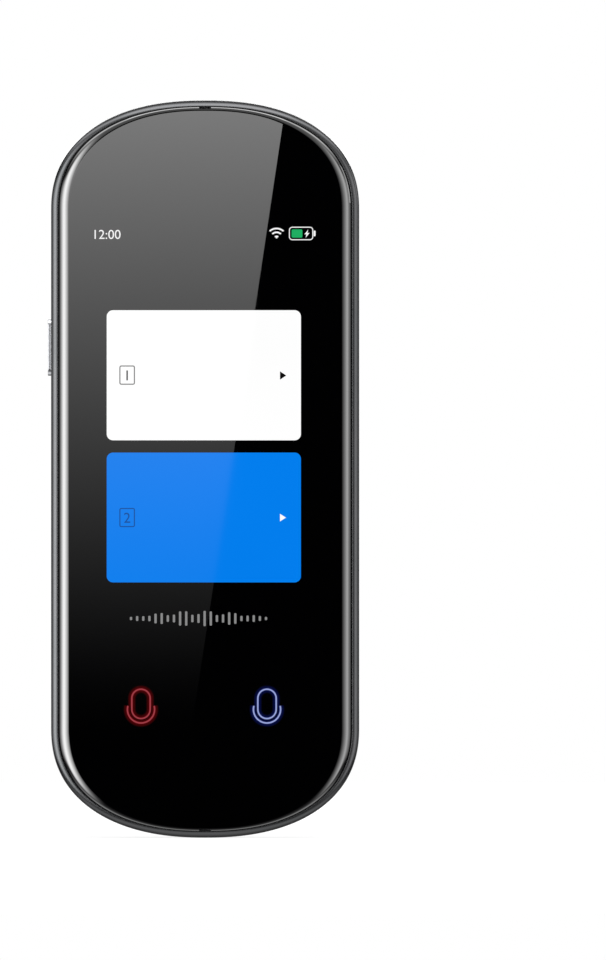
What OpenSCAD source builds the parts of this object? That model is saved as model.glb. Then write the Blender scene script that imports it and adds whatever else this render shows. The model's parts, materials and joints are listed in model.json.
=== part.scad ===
/* [Body] */
// Width across the straight sides
body_width = 56.4; // [56.4:0.1:57.4]
// Height over the two round ends
body_height = 135; // [135:0.5:137]
// Height of each round end
end_height = 20.1; // [19.6:0.1:20.6]
// Squareness of the round ends, where 2 is an ellipse
end_power = 2.3; // [2.2:0.05:2.4]
// Wall of the rear housing
wall = 1.3; // [1.2:0.05:1.4]

/* [Front] */
// Width of the rounded metal rim seen from the front
rim_width = 1.28; // [1.2:0.02:1.3]
// Gap between the rim and the glass
rim_gap = 0.12; // [0.1:0.01:0.15]
// Width of the curved glass edge at the sides
glass_curve_side = 2.0; // [1.8:0.1:2.2]
// Width of the curved glass edge at the round ends
glass_curve_end = 0.8; // [0.7:0.05:1]
// Width of the screen's picture
picture_width = 45; // [44:0.5:46]
// Height of the screen's picture
picture_height = 93; // [92:0.5:94]
// Width of each microphone slit
slit_width = 2.2; // [2:0.1:2.6]

/* [Back] */
// Distance of the raised field from the outline
field_inset = 10; // [9.6:0.1:10.4]
// Distance of the groove's floor from the outline
groove_inset = 6.8; // [6.6:0.1:7]
// Distance of the outer ridge from the outline
ridge_inset = 3.6; // [3.4:0.1:3.8]
// How far the groove lies below the raised field
groove_depth = 1.7; // [1.5:0.05:1.8]
// How far the outer ridge lies below the raised field
ridge_depth = 1.15; // [1.05:0.05:1.2]

/* [Side key] */
// Length of the key
key_length = 10.4; // [10:0.1:11]
// Height of the key across the edge
key_height = 2.4; // [2.2:0.1:2.6]
// How far the key stands out of the side
key_proud = 0.65; // [0.5:0.05:0.8]
// Travel of the key
key_travel = 0.3; // [0.2:0.05:0.3]
// Height of the key's middle above the body's middle
key_y = 22.3; // [21:0.1:24]

/* [Camera and speaker] */
// Outer diameter of the camera's bezel
bezel_d = 8.2; // [8:0.1:8.4]
// Place of the camera across the back
camera_x = -0.9; // [-1.2:0.1:0]
// Height of the camera above the body's middle
camera_y = 54.7; // [54.4:0.1:54.9]
// Diameter of one speaker hole
speaker_hole_d = 1.7; // [1.5:0.05:1.8]
// Distance of the holes' common centre above the body's middle
speaker_centre_y = 59.8; // [59.5:0.1:60.1]
// Radius of the upper row of holes
upper_row_r = 16.5; // [16.3:0.1:16.7]
// Radius of the lower row of holes
lower_row_r = 20; // [19.8:0.1:20.2]

/* [Hidden] */
$fn = 48;
arc_steps = 32;
corner_steps = 6;
half_w = body_width / 2;
half_h = body_height / 2;
straight_half = half_h - end_height;
slack = 0.02;
over = 0.5;

// Levels from the back plane at 0 to the glass face
glass_face_z = 12;
glass_edge_z = 11.15;
glass_seat_z = 10.9;
ledge_z = 10.7;
lcd_z = 9.9;
backlight_z = 8.5;
chassis_z = 7.9;
skirt_z = 7.3;
parting_z = 9.2;
widest_z = 7.2;
board_z = 6.3;
board_t = 0.8;
port_board_z = 6.95;
port_board_t = 0.6;

// Section of the front frame, whose rim slopes up to its crest beside the glass
parting_inset = 0.35;
rim_edge = 0.08;
crest_z = 11.55;
flank_z = 10.88;
wall_line = 1.75;
skirt_outer = 1.9;
skirt_inner = 2.9;
shelf_inner = 4;
glass_inset = rim_width + rim_gap;
end_shelf_y = 51;
end_shelf_z = 9.5;

// Snap hooks of the frame, which catch in recesses of the housing
snap_at = [-36, -6, 42];
snap_length = 4;
snap_t = 0.6;
snap_z = 8;
snap_gap = 0.2;

// Ribs inside the rear housing
rib_t = 0.8;
rib_h = 3;
rib_root = 0.2;
rest_z = 2.2;

// Side key and its switch
key_z = 6.6;
key_gap = 0.1;
key_crown = 0.25;
flange_t = 0.6;
flange_side = 1;
flange_h = 3.2;
flange_gap = 0.2;
flange_x = -half_w + 1.7;
plunger_r = 0.7;
plunger_length = 1.2;
plunger_seat = 0.5;
switch_x = flange_x + flange_t + plunger_length - plunger_seat;
switch_size = [4.2, 2.8];
switch_t = 1.8;
switch_drop = 0.3;
switch_rest_w = 10;
flex_t = 0.15;

// Camera
window_d = 6.2;
window_z = 0.25;
window_t = 0.6;
bezel_h = 2.3;
barrel_d = 5.8;
barrel_z = 1.1;
lens_z = 1.7;
lens_r = 1.69;
lens_bulge = 0.45;
lens_t = 1.2;
camera_boss_wall = 0.6;
camera_boss_top = 2.4;
camera_base = 8.5;
camera_base_z = 3.6;
camera_base_t = 1.8;
camera_flex_t = 0.25;

// Speaker
speaker_y = 42;
speaker_size = [21, 12.2];
speaker_corner = 0.75;
speaker_fit = 0.05;
speaker_wall_z = 3.2;
speaker_box_z = 1.8;
speaker_top_z = 5.6;
speaker_chamber = [16.4, 8.2];
chamber_top_z = 4.9;
cone_z = 2.2;
membrane_z = 2.7;
membrane_t = 0.2;
mesh_size = [20.6, 11.8];
mesh_t = 0.1;
upper_pitch = 8.8;
lower_pitch = 7.05;

// USB-C receptacle, in its standard sizes
port_w = 8.94;
port_h = 3.26;
port_wall = 0.3;
port_mouth_y = -half_h + 0.9;
port_length = 7.35;
port_z = port_board_z - port_h / 2;
port_gap = 0.2;
port_rest = [1, 4];
port_rest_x = 2.6;
port_rest_y = -half_h + 5;
port_neck = [9.2, 6];
tongue_size = [6.69, 0.7];
tongue_root = 1.6;
contact_size = [0.25, 4, 0.05];
contact_pitch = 0.5;

// Battery, with its protection board and the lead to the mainboard
cell_size = [34, 58, 4.9];
cell_y = -16;
cell_z = 1.5;
cell_corner = 1.2;
cell_gap = 0.2;
tape_size = [7, 46];
tape_x = 9;
cell_board_y = 15.2;
cell_board_z = 3.4;
cell_board_size = [26, 3.6];
tab_low_z = 2.9;
tab_top_z = 5;
lead_z = 5.55;

// Boards: the mainboard lies above this height, the port's board below the other
mainboard_low_y = 19.5;
port_board_high_y = -51.6;
board_side_gap = 5.2;
board_end_gap = 4.3;
chip_corner = 0.3;

// Parts on the mainboard's rear side, each with its place, its size and the level it reaches
board_chips = [
    [[2.25, 22.6], [4, 3], lead_z + flex_t],
    [[-8.5, 53], [3, 8], camera_base_z + camera_base_t + camera_flex_t],
    [[13, 42], [5, 8], 5.1],
    [[-16, 42], [4, 6], 5.3]
];
display_socket_y = 23;
display_socket = [16, 3.4];
touch_socket_at = [12.5, -54];
touch_socket = [3.4, 2.4];
touch_socket_z = 7.7;

// Shield cans over the mainboard's chips
can_y = 28.5;
can_t = 0.2;
can_hole_d = 0.9;
can_hole_pitch = 3.5;

// Display stack
touch_size = [49.6, 100];
lcd_size = [48, 99];
lcd_t = 0.4;
picture_margin = 2;
tray_size = [48.6, 99.4];
tray_wall = 0.8;
tray_t = 0.4;
display_flex_half = 9;
display_fold_y = -50.1;
touch_fold_y = -50.5;

// Chassis plate
spacer_r = 1.6;
window_size = [9, 14];
window_corner = 2;
windows_x = [-12, 12];
windows_y = [-36, -12, 12];
fold_slot_at = [-10, -51.4];
fold_slot = [25.2, 1.9];

// Microphones, one in each round end
slit_h = 0.7;
slit_y = half_h - 2.05;
mic_size = [3.5, 2.6, 1];
mic_y = half_h - 4;
mic_port_d = 0.8;
pocket_top_z = 9.6;
pocket_near = 1.9;
pocket_far = 4.85;
pocket_w = 10.4;
pocket_gap = 0.05;
chassis_clearance = 0.75;
neck_gap = 2.4;
mic_neck_w = 4.8;
mic_neck_y = half_h - 9.5;
boot_w = 5;
boot_wall = 0.5;

// Screws
screw_shank_r = 0.68;
screw_hole_r = 0.7;
board_hole_r = 0.8;
screw_head_r = 1.3;
screw_head_h = 0.7;
screw_slot = [1.6, 0.3, 0.9];
screw_slot_depth = 0.4;
board_screws_at = [[-19, 27], [19, 27], [-17, 50], [17, 50]];
port_screws_at = [[-17, -54.5], [17, -54.5]];

// Printed antenna: a comb of copper under the upper end
antenna_at = [5, 49.5];
antenna_t = 0.12;
antenna_line = 0.8;
antenna_pitch = 2.4;
antenna_length = 5;

// Outline of the body drawn in by dx at the sides and dy at the ends, counter-clockwise
function power_of(v, p) = sign(v) * pow(abs(v), p);
function outline_point(angle, dx, dy, centre_y) = [
    (half_w - dx) * power_of(cos(angle), 2 / end_power),
    centre_y + (end_height - dy) * power_of(sin(angle), 2 / end_power)
];
function outline(dx, dy) = [
    for (half = [0, 1], i = [0:arc_steps])
        outline_point(180 * (half + i / arc_steps), dx, dy, half == 0 ? straight_half : -straight_half)
];

// A rectangle with round corners about the origin
function rounded(w, h, r) = [
    for (k = [0:3], s = [0:corner_steps])
        let (a = 90 * (k + s / corner_steps))
        let (sx = k == 0 || k == 3 ? 1 : -1, sy = k < 2 ? 1 : -1)
        [sx * (w / 2 - r) + r * cos(a), sy * (h / 2 - r) + r * sin(a)]
];

// A soft step from one inset and level to another
function soft_step(from, to, steps) = [
    for (i = [1:steps])
        let (s = i / steps)
        [from[0] + (to[0] - from[0]) * s, from[1] + (to[1] - from[1]) * s * s * (3 - 2 * s)]
];

// A skin through rings of the outline, each at [dx, z] or [dx, z, dy]
module skin(section, closed = false) {
    rings = [for (p = section) outline(p[0], len(p) > 2 ? p[2] : p[0])];
    n = len(rings[0]);
    count = len(section);
    points = [for (k = [0:count - 1], q = rings[k]) [q[0], q[1], section[k][1]]];
    sides = [
        for (k = [0:count - (closed ? 1 : 2)], i = [0:n - 1])
            let (a = k * n + i, b = k * n + (i + 1) % n)
            let (c = (k + 1) % count * n + (i + 1) % n, d = (k + 1) % count * n + i)
            each [[a, b, c], [a, c, d]]
    ];
    caps = closed ? [] : [
        [for (i = [n - 1:-1:0]) i],
        [for (i = [0:n - 1]) (count - 1) * n + i]
    ];
    polyhedron(points, concat(caps, sides));
}

// The model is drawn lying on its back and then stood up, with its front towards -Y
module upright() rotate([90, 0, 0]) children();

module slab(size, r, z0, z1) {
    translate([0, 0, z0]) linear_extrude(z1 - z0) polygon(rounded(size[0], size[1], r));
}

module layer(dx, dy, z0, z1) {
    translate([0, 0, z0]) linear_extrude(z1 - z0) polygon(outline(dx, dy));
}

// A slot with round ends, long side along X
module stadium(w, h) {
    square([w - h, h], center = true);
    for (side = [-1, 1]) translate([side * (w - h) / 2, 0]) circle(d = h);
}

// A bar along X with a round-ended section that is w long in Y and h high in Z
module side_bar(w, h, x0, x1) {
    translate([x0, key_y, key_z]) rotate([90, 0, 90]) linear_extrude(x1 - x0) stadium(w, h);
}

// Direction at right angles to the way from a to b
function across(a, b) = [a[1] - b[1], b[0] - a[0]] / norm(b - a);

// A path shifted sideways by t, with mitred corners
function shifted(path, t) = [
    for (i = [0:len(path) - 1])
        let (before = across(path[max(i - 1, 0)], path[max(i, 1)]))
        let (after = across(path[min(i, len(path) - 2)], path[min(i + 1, len(path) - 1)]))
        path[i] + t * (before + after) / (1 + before * after)
];

// A strip of flexible circuit along points in the YZ plane, on the left of the path or on its right
module flex_strip(x0, x1, path, side = 1) {
    back = shifted(path, side * flex_t);
    translate([x0, 0, 0]) rotate([90, 0, 90]) linear_extrude(x1 - x0)
        polygon(concat(path, [for (i = [len(path) - 1:-1:0]) back[i]]));
}

module speaker_holes(z0, z1) {
    for (row = [[upper_row_r, upper_pitch, 2], [lower_row_r, lower_pitch, 3]])
        for (k = [-row[2]:row[2]])
            translate([
                camera_x + row[0] * sin(k * row[1]),
                speaker_centre_y - row[0] * cos(k * row[1]),
                z0
            ]) cylinder(d = speaker_hole_d, h = z1 - z0);
}

outer_section = concat(
    [[parting_inset, parting_z], [0.1, 8.6]],
    [for (a = [0:15:90])
        [ridge_inset * (1 - cos(a)), widest_z - (widest_z - ridge_depth) * sin(a)]],
    soft_step([ridge_inset, ridge_depth], [groove_inset, groove_depth], 4),
    soft_step([groove_inset, groove_depth], [field_inset, 0], 7)
);
inner_section = concat(
    [[field_inset + 0.4, wall]],
    soft_step([field_inset + 0.4, wall], [groove_inset + 0.4, groove_depth + wall], 5),
    [for (a = [90:-18:0]) [5 - 3.4 * cos(a), widest_z - 4.2 * sin(a)]],
    [[wall_line, 7.6], [wall_line, parting_z]]
);

module housing_ribs() {
    root_z = wall - rib_root;
    difference() {
        translate([camera_x, speaker_y, 0])
            slab(speaker_size + 2 * [rib_t, rib_t], speaker_corner + rib_t, root_z, speaker_wall_z);
        translate([camera_x, speaker_y, 0])
            slab(speaker_size + 2 * [speaker_fit, speaker_fit], speaker_corner + speaker_fit,
                root_z - over, speaker_wall_z + over);
    }
    translate([camera_x, camera_y, root_z])
        cylinder(d = bezel_d + 2 * camera_boss_wall, h = camera_boss_top - root_z);
    // Fences beside the battery and below it
    for (side = [-1, 1])
        translate([side * (cell_size[0] / 2 + cell_gap + rib_t / 2), cell_y, root_z + rib_h / 2])
            cube([rib_t, cell_size[1], rib_h], center = true);
    translate([0, cell_y - cell_size[1] / 2 - rib_t, root_z + rib_h / 2])
        cube([cell_size[0] - 2, rib_t, rib_h], center = true);
    // Rests behind the switch and under the port
    translate([switch_x + switch_t + flex_t, key_y - switch_rest_w / 2, rest_z])
        cube([rib_t, switch_rest_w, board_z - rest_z]);
    for (side = [-1, 1])
        translate([side * port_rest_x - port_rest[0] / 2, port_rest_y, rest_z])
            cube([port_rest[0], port_rest[1], port_z - port_h / 2 - rest_z]);
}

module rear_housing() {
    flange_half = key_length / 2 + flange_side + flange_gap;
    flange_low_z = key_z - flange_h / 2 - flange_gap - key_gap;
    color("dimgray") upright() difference() {
        union() {
            skin(concat(inner_section, outer_section));
            housing_ribs();
        }
        speaker_holes(-over, wall + rib_root);
        translate([camera_x, camera_y, -over]) cylinder(d = bezel_d + 2 * slack, h = 4);
        side_bar(key_length + 2 * key_gap, key_height + 2 * key_gap, -half_w - 1, flange_x + key_gap);
        translate([flange_x - key_gap, key_y - flange_half, flange_low_z])
            cube([flange_t + 4 * key_gap, 2 * flange_half, parting_z + 1 - flange_low_z]);
        translate([0, port_mouth_y + 3, port_z]) rotate([90, 0, 0])
            linear_extrude(5) stadium(port_w + 2 * port_gap, port_h + 2 * port_gap);
        for (side = [-1, 1], y = snap_at)
            translate([side * (half_w - wall_line), y, snap_z + snap_t / 2])
                cube([snap_t, snap_length + 2 * snap_gap, snap_t + 2 * snap_gap], center = true);
    }
}

rim_section = [
    for (a = [0:15:90])
        [(rim_width - rim_edge) * (1 - sin(a)), flank_z + (crest_z - flank_z) * cos(a)]
];
frame_section = concat(
    rim_section,
    [[0, 9.9], [0.1, 9.5], [parting_inset, parting_z], [skirt_outer, parting_z]],
    [[skirt_outer, skirt_z], [shelf_inner, skirt_z], [shelf_inner, chassis_z]],
    [[skirt_inner, chassis_z], [skirt_inner, ledge_z], [rim_width, ledge_z]],
    [[rim_width, crest_z - rim_edge]]
);

module front_frame() {
    notch_half = key_length / 2 + flange_side + 2 * flange_gap;
    color("slategray") upright() difference() {
        union() {
            skin(frame_section, closed = true);
            for (side = [-1, 1], y = snap_at)
                translate([side * (half_w - skirt_outer), y, snap_z + snap_t / 2])
                    cube([snap_t, snap_length, snap_t], center = true);
            // Shelves that carry the glass at the round ends
            for (turn = [0, 180]) rotate([0, 0, turn]) intersection() {
                layer(skirt_inner - 0.2, skirt_inner - 0.2, end_shelf_z, ledge_z);
                translate([-half_w, end_shelf_y, end_shelf_z - over])
                    cube([body_width, half_h - end_shelf_y, 3]);
            }
        }
        translate([-half_w + 1.5, key_y - notch_half, skirt_z - 0.2])
            cube([shelf_inner - 1, 2 * notch_half, 1.7]);
        for (turn = [0, 180]) rotate([0, 0, turn]) {
            translate([-pocket_w / 2, half_h - pocket_far - pocket_gap, skirt_z - 0.2])
                cube([pocket_w, pocket_far - pocket_near + 2 * pocket_gap, pocket_top_z - skirt_z + 0.2]);
            translate([-slit_width / 2, slit_y, pocket_top_z - 0.2]) cube([slit_width, slit_h, 3]);
        }
    }
}

module cover_glass() {
    curve = [
        for (a = [90:-15:0]) [
            glass_inset + glass_curve_side * (1 - cos(a)),
            glass_edge_z + (glass_face_z - glass_edge_z) * sin(a),
            glass_inset + glass_curve_end * (1 - cos(a))
        ]
    ];
    color("black") upright() difference() {
        skin(concat(curve, [[glass_inset, glass_seat_z]]));
        for (turn = [0, 180]) rotate([0, 0, turn])
            translate([-slit_width / 2, slit_y, glass_seat_z - over])
                cube([slit_width, half_h - slit_y, 2]);
    }
}

module glass_adhesive() {
    color("dimgray") upright() difference() {
        layer(glass_inset + 0.1, glass_inset + 0.1, ledge_z, glass_seat_z);
        layer(skirt_inner - 0.1, skirt_inner - 0.1, ledge_z - over, glass_seat_z + over);
        for (turn = [0, 180]) rotate([0, 0, turn])
            translate([-slit_width / 2 - 0.3, slit_y - 0.3, ledge_z - over])
                cube([slit_width + 0.6, half_h - slit_y + 0.3, 2]);
    }
}

module touch_sensor() {
    color("lightsteelblue") upright() slab(touch_size, 1, ledge_z, glass_seat_z);
}

module lcd_cell() {
    color("darkslategray") upright() {
        slab(lcd_size, 0.5, lcd_z, lcd_z + lcd_t);
        slab([picture_width, picture_height] + [picture_margin, picture_margin], 0.5,
            lcd_z + lcd_t, ledge_z);
    }
}

module backlight_tray() {
    inside = tray_size - 2 * [tray_wall, tray_wall];
    color("silver") upright() difference() {
        slab(tray_size, tray_wall, backlight_z, lcd_z);
        slab(inside, tray_wall / 2, backlight_z + tray_t, lcd_z + over);
    }
    color("whitesmoke") upright() slab(inside, tray_wall / 2, backlight_z + tray_t, lcd_z - 0.1);
}

// The display's circuit folds round the tray and runs up its back to the mainboard
module display_flex() {
    color("peru") upright() flex_strip(-display_flex_half, display_flex_half, [
        [-48.2, lcd_z + lcd_t], [display_fold_y, lcd_z + lcd_t],
        [display_fold_y, chassis_z], [24.5, chassis_z]
    ], -1);
}

module touch_flex() {
    color("peru") upright() flex_strip(10.5, 14.5, [
        [-touch_size[1] / 2, ledge_z + slack], [touch_fold_y, ledge_z + slack],
        [touch_fold_y, touch_socket_z], [-54.4, touch_socket_z]
    ], -1);
}

module spacers(places, z0) {
    for (at = places) translate([at[0], at[1], z0]) cylinder(r = spacer_r, h = chassis_z - z0);
}

module chassis_plate() {
    drill_z = chassis_z - 0.9;
    color("lightgray") upright() difference() {
        union() {
            layer(skirt_inner + 0.1, skirt_inner + 0.1, chassis_z, backlight_z);
            spacers(board_screws_at, board_z + board_t);
            spacers(port_screws_at, port_board_z + port_board_t);
        }
        for (at = concat(board_screws_at, port_screws_at))
            translate([at[0], at[1], drill_z]) cylinder(r = screw_hole_r, h = 2);
        for (turn = [0, 180]) rotate([0, 0, turn])
            translate([-pocket_w / 2, half_h - pocket_far - chassis_clearance, drill_z])
                cube([pocket_w, pocket_far + chassis_clearance, 2]);
        translate([fold_slot_at[0], fold_slot_at[1], drill_z]) cube([fold_slot[0], fold_slot[1], 2]);
        for (x = windows_x, y = windows_y)
            translate([x, y, 0]) slab(window_size, window_corner, drill_z, backlight_z + over);
    }
}

// A board inside the housing's outline, from one height to another
module board_shape(low, high) {
    intersection() {
        polygon(outline(board_side_gap, board_end_gap));
        translate([-half_w, low]) square([body_width, high - low]);
    }
}

module mainboard() {
    top = board_z + board_t;
    color("darkgreen") upright() difference() {
        translate([0, 0, board_z]) linear_extrude(board_t) {
            board_shape(mainboard_low_y, half_h);
            translate([-mic_neck_w / 2, mic_neck_y])
                square([mic_neck_w, half_h - neck_gap - mic_neck_y]);
        }
        for (at = board_screws_at)
            translate([at[0], at[1], board_z - over]) cylinder(r = board_hole_r, h = 2);
    }
    color("black") upright() {
        translate([0, display_socket_y, 0]) slab(display_socket, chip_corner, top, chassis_z - flex_t);
        for (chip = board_chips)
            translate([chip[0][0], chip[0][1], 0]) slab(chip[1], chip_corner, chip[2], board_z);
    }
}

// A drawn sheet-metal can with holes along its lid
module shield_can(size, holes, z0, z1) {
    difference() {
        slab(size, 4 * can_t, z0, z1);
        slab(size - 2 * [can_t, can_t], 3 * can_t, z0 + can_t, z1 + over);
        for (x = holes, y = [-can_hole_pitch, 0, can_hole_pitch])
            translate([x, y, z0 - over]) cylinder(d = can_hole_d, h = 1, $fn = 24);
    }
}

module processor_shield() {
    color("silver") upright() translate([-9, can_y, 0])
        shield_can([15, 12], [-4.5, 0, 4.5], 4.7, board_z);
}

module radio_shield() {
    color("silver") upright() translate([11.2, can_y, 0])
        shield_can([11, 12], [-3, 0, 3], 4.9, board_z);
}

module screw(seat_z) {
    head_z = seat_z - screw_head_h;
    difference() {
        union() {
            translate([0, 0, head_z]) cylinder(r = screw_head_r, h = screw_head_h);
            translate([0, 0, seat_z]) cylinder(r = screw_shank_r, h = backlight_z - seat_z);
        }
        for (turn = [0, 90]) rotate([0, 0, turn])
            translate([0, 0, head_z + screw_slot_depth - screw_slot[2] / 2])
                cube(screw_slot, center = true);
    }
}

module board_screws() {
    color("gainsboro") upright() {
        for (at = board_screws_at) translate([at[0], at[1], 0]) screw(board_z);
        for (at = port_screws_at) translate([at[0], at[1], 0]) screw(port_board_z);
    }
}

module battery_cell() {
    color("darkgray") upright()
        translate([0, cell_y + cell_size[1] / 2, cell_z + cell_size[2] / 2]) rotate([90, 0, 0])
            linear_extrude(cell_size[1]) polygon(rounded(cell_size[0], cell_size[2], cell_corner));
}

// The protection board stands across the cell's end, with the cell's tabs on it
module battery_board() {
    board_top = cell_board_z + board_t;
    color("darkgreen") upright() translate([0, cell_board_y, 0]) {
        slab(cell_board_size, 0.4, cell_board_z, board_top);
        for (x = [-8, -3, 8]) translate([x, 0, 0]) slab([2.6, 2], 0.2, board_top, tab_top_z);
        for (x = [-10.5, 10.5]) translate([x, -1.9, 0]) slab([3, 0.6], 0.1, tab_low_z, tab_top_z);
    }
}

module battery_lead() {
    start_z = cell_board_z + board_t;
    color("peru") upright() flex_strip(0.5, 4, [
        [cell_board_y + 0.2, start_z], [18, start_z], [19, lead_z], [24, lead_z]
    ]);
}

module battery_tape() {
    color("whitesmoke") upright() for (side = [-1, 1])
        translate([side * tape_x, cell_y, 0]) slab(tape_size, 0.5, wall, cell_z);
}

module port_board() {
    top = port_board_z + port_board_t;
    color("darkgreen") upright() difference() {
        translate([0, 0, port_board_z]) linear_extrude(port_board_t) {
            board_shape(-half_h, port_board_high_y);
            translate([-port_neck[0] / 2, -half_h + neck_gap]) square(port_neck);
        }
        for (at = port_screws_at)
            translate([at[0], at[1], port_board_z - over]) cylinder(r = board_hole_r, h = 2);
    }
    color("black") upright() translate([touch_socket_at[0], touch_socket_at[1], 0])
        slab(touch_socket, 0.2, top, touch_socket_z);
}

module port_shell() {
    color("silver") upright() translate([0, port_mouth_y + port_length, port_z]) rotate([90, 0, 0])
        difference() {
            linear_extrude(port_length) stadium(port_w, port_h);
            translate([0, 0, port_wall])
                linear_extrude(port_length) stadium(port_w - 2 * port_wall, port_h - 2 * port_wall);
        }
}

module port_tongue() {
    back_y = port_mouth_y + port_length - port_wall;
    color("dimgray") upright() translate([0, back_y, port_z]) rotate([90, 0, 0]) {
        linear_extrude(tongue_root) stadium(port_w - 2 * port_wall, port_h - 2 * port_wall);
        translate([0, 0, tongue_root / 2])
            linear_extrude(port_length - 1.9) square(tongue_size, center = true);
    }
    // Twelve contacts on each face of the tongue
    color("gold") upright() for (side = [-1, 1], k = [-5.5:5.5])
        translate([
            k * contact_pitch,
            port_mouth_y + 1 + contact_size[1] / 2,
            port_z + side * (tongue_size[1] + contact_size[2]) / 2
        ]) cube(contact_size, center = true);
}

module link_flex() {
    color("peru") upright() flex_strip(19.4, 21.8, [
        [-53, 7.55], [-50.5, 7.55], [-49.5, 7.1], [22, 7.1]
    ]);
}

module power_key() {
    face_x = -half_w - key_proud;
    color("silver") upright() union() {
        side_bar(key_length, key_height, face_x + key_crown, flange_x + 0.1);
        hull() {
            side_bar(key_length, key_height, face_x + key_crown, face_x + key_crown + 0.05);
            side_bar(key_length - 2 * key_crown, key_height - 2 * key_crown, face_x, face_x + key_crown);
        }
        translate([flange_x, key_y, key_z]) rotate([90, 0, 90]) linear_extrude(flange_t)
            polygon(rounded(key_length + 2 * flange_side, flange_h, 0.6));
    }
}

module switch_plunger() {
    color("ivory") upright() translate([flange_x + flange_t, key_y, key_z]) rotate([0, 90, 0])
        cylinder(r = plunger_r, h = plunger_length);
}

module switch_body() {
    color("gray") upright() difference() {
        translate([switch_x, key_y, key_z - switch_drop]) rotate([90, 0, 90]) linear_extrude(switch_t)
            polygon(rounded(switch_size[0], switch_size[1], chip_corner));
        translate([switch_x - over, key_y, key_z]) rotate([0, 90, 0])
            cylinder(r = plunger_r + 0.1, h = over + plunger_seat + key_travel + 0.1);
    }
}

// The switch's circuit stands behind it and turns over onto the mainboard
module switch_flex() {
    back = switch_x + switch_t;
    top = board_z + board_t;
    low = key_z - 2;
    color("peru") upright() {
        translate([back, key_y - 4, low]) cube([flex_t, 8, top - low]);
        translate([back, key_y - 1, top]) cube([3, 3, flex_t]);
    }
}

module camera_bezel() {
    color("black") upright() translate([camera_x, camera_y, 0]) difference() {
        cylinder(d = bezel_d, h = bezel_h, $fn = 72);
        translate([0, 0, -over])
            cylinder(d1 = window_d + 1.2, d2 = window_d, h = over + window_z, $fn = 72);
        translate([0, 0, window_z - slack]) cylinder(d = window_d, h = window_t + slack, $fn = 72);
        cylinder(d = barrel_d + 0.1, h = bezel_h + over, $fn = 72);
    }
}

module camera_window() {
    color("midnightblue") upright() translate([camera_x, camera_y, window_z])
        cylinder(d = window_d - 2 * slack, h = window_t);
}

module lens_barrel() {
    color("black") upright() translate([camera_x, camera_y, 0]) difference() {
        translate([0, 0, barrel_z]) cylinder(d = barrel_d, h = camera_base_z - barrel_z);
        translate([0, 0, barrel_z - 0.1]) cylinder(d1 = 4.6, d2 = 3.4, h = 0.8);
        translate([0, 0, lens_z]) cylinder(d = 3.4, h = 3);
    }
}

// The front lens bulges towards the window
module front_lens() {
    dome = [for (a = [0:10:90]) [lens_r * cos(a), lens_bulge * (1 - sin(a))]];
    color("indigo") upright() translate([camera_x, camera_y, lens_z]) rotate_extrude()
        polygon(concat([[0, lens_t], [lens_r, lens_t]], dome));
}

module camera_base() {
    color("dimgray") upright() translate([camera_x, camera_y, 0])
        slab([camera_base, camera_base], 0.6, camera_base_z, camera_base_z + camera_base_t);
}

module camera_flex() {
    color("peru") upright() translate([camera_x - 9.1, camera_y - 3, camera_base_z + camera_base_t])
        cube([12, 6, camera_flex_t]);
}

// The parts of the speaker share one place on the back
module at_speaker() upright() translate([camera_x, speaker_y, 0]) children();

module speaker_box() {
    color("dimgray") at_speaker() difference() {
        slab(speaker_size, speaker_corner, speaker_box_z, speaker_top_z);
        slab(speaker_chamber, 2, speaker_box_z - over, chamber_top_z);
    }
}

// A domed cone on a flat membrane, with the voice coil and its magnet behind
module speaker_diaphragm() {
    back_z = membrane_z + membrane_t;
    color("saddlebrown") at_speaker() {
        slab(speaker_chamber - [0.1, 0.1], 2, membrane_z, back_z);
        hull() {
            slab([13, 5.4], 2, membrane_z - 0.1, membrane_z);
            slab([8, 2.6], 1.2, cone_z, cone_z + 0.1);
        }
        slab([12, 5], 2, back_z, chamber_top_z);
    }
}

module speaker_gasket() {
    color("black") at_speaker() difference() {
        slab(mesh_size, 0.7, wall + mesh_t, speaker_box_z);
        slab([17, 7.6], 1.5, wall, speaker_box_z + over);
    }
}

module speaker_mesh() {
    color("black") at_speaker() slab(mesh_size, 0.7, wall, wall + mesh_t);
}

// A microphone in the round end, and with a turn of 180 in the other one
module microphone(turn, z0) {
    rotate([0, 0, turn]) translate([0, mic_y, 0]) difference() {
        slab([mic_size[0], mic_size[1]], 0.3, z0, z0 + mic_size[2]);
        translate([0, 0, z0 + 0.7]) cylinder(d = mic_port_d, h = 1);
    }
}

// A rubber boot that leads the sound from the slit to the microphone
module mic_boot(turn, z0) {
    rotate([0, 0, turn]) difference() {
        translate([-boot_w / 2, half_h - pocket_far, z0])
            cube([boot_w, pocket_far - pocket_near, pocket_top_z - z0]);
        translate([-slit_width / 2 + 0.1, mic_y - mic_port_d / 2, z0 + boot_wall])
            cube([slit_width - 0.2, half_h - mic_y, 3]);
        translate([0, mic_y, z0 - over]) cylinder(d = mic_port_d, h = 2);
    }
}

module top_microphone() {
    color("gold") upright() microphone(0, board_z + board_t);
}

module top_mic_boot() {
    color("black") upright() mic_boot(0, board_z + board_t + mic_size[2]);
}

module bottom_microphone() {
    color("gold") upright() microphone(180, port_board_z + port_board_t);
}

module bottom_mic_boot() {
    color("black") upright() mic_boot(180, port_board_z + port_board_t + mic_size[2]);
}

module antenna_flex() {
    color("goldenrod") upright() translate([antenna_at[0], antenna_at[1], wall]) {
        cube([9, antenna_line, antenna_t]);
        for (k = [0:3]) translate([k * antenna_pitch, 0, 0])
            cube([antenna_line, antenna_length, antenna_t]);
        for (k = [0, 2]) translate([k * antenna_pitch, antenna_length - antenna_line, 0])
            cube([antenna_pitch + antenna_line, antenna_line, antenna_t]);
    }
}

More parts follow.
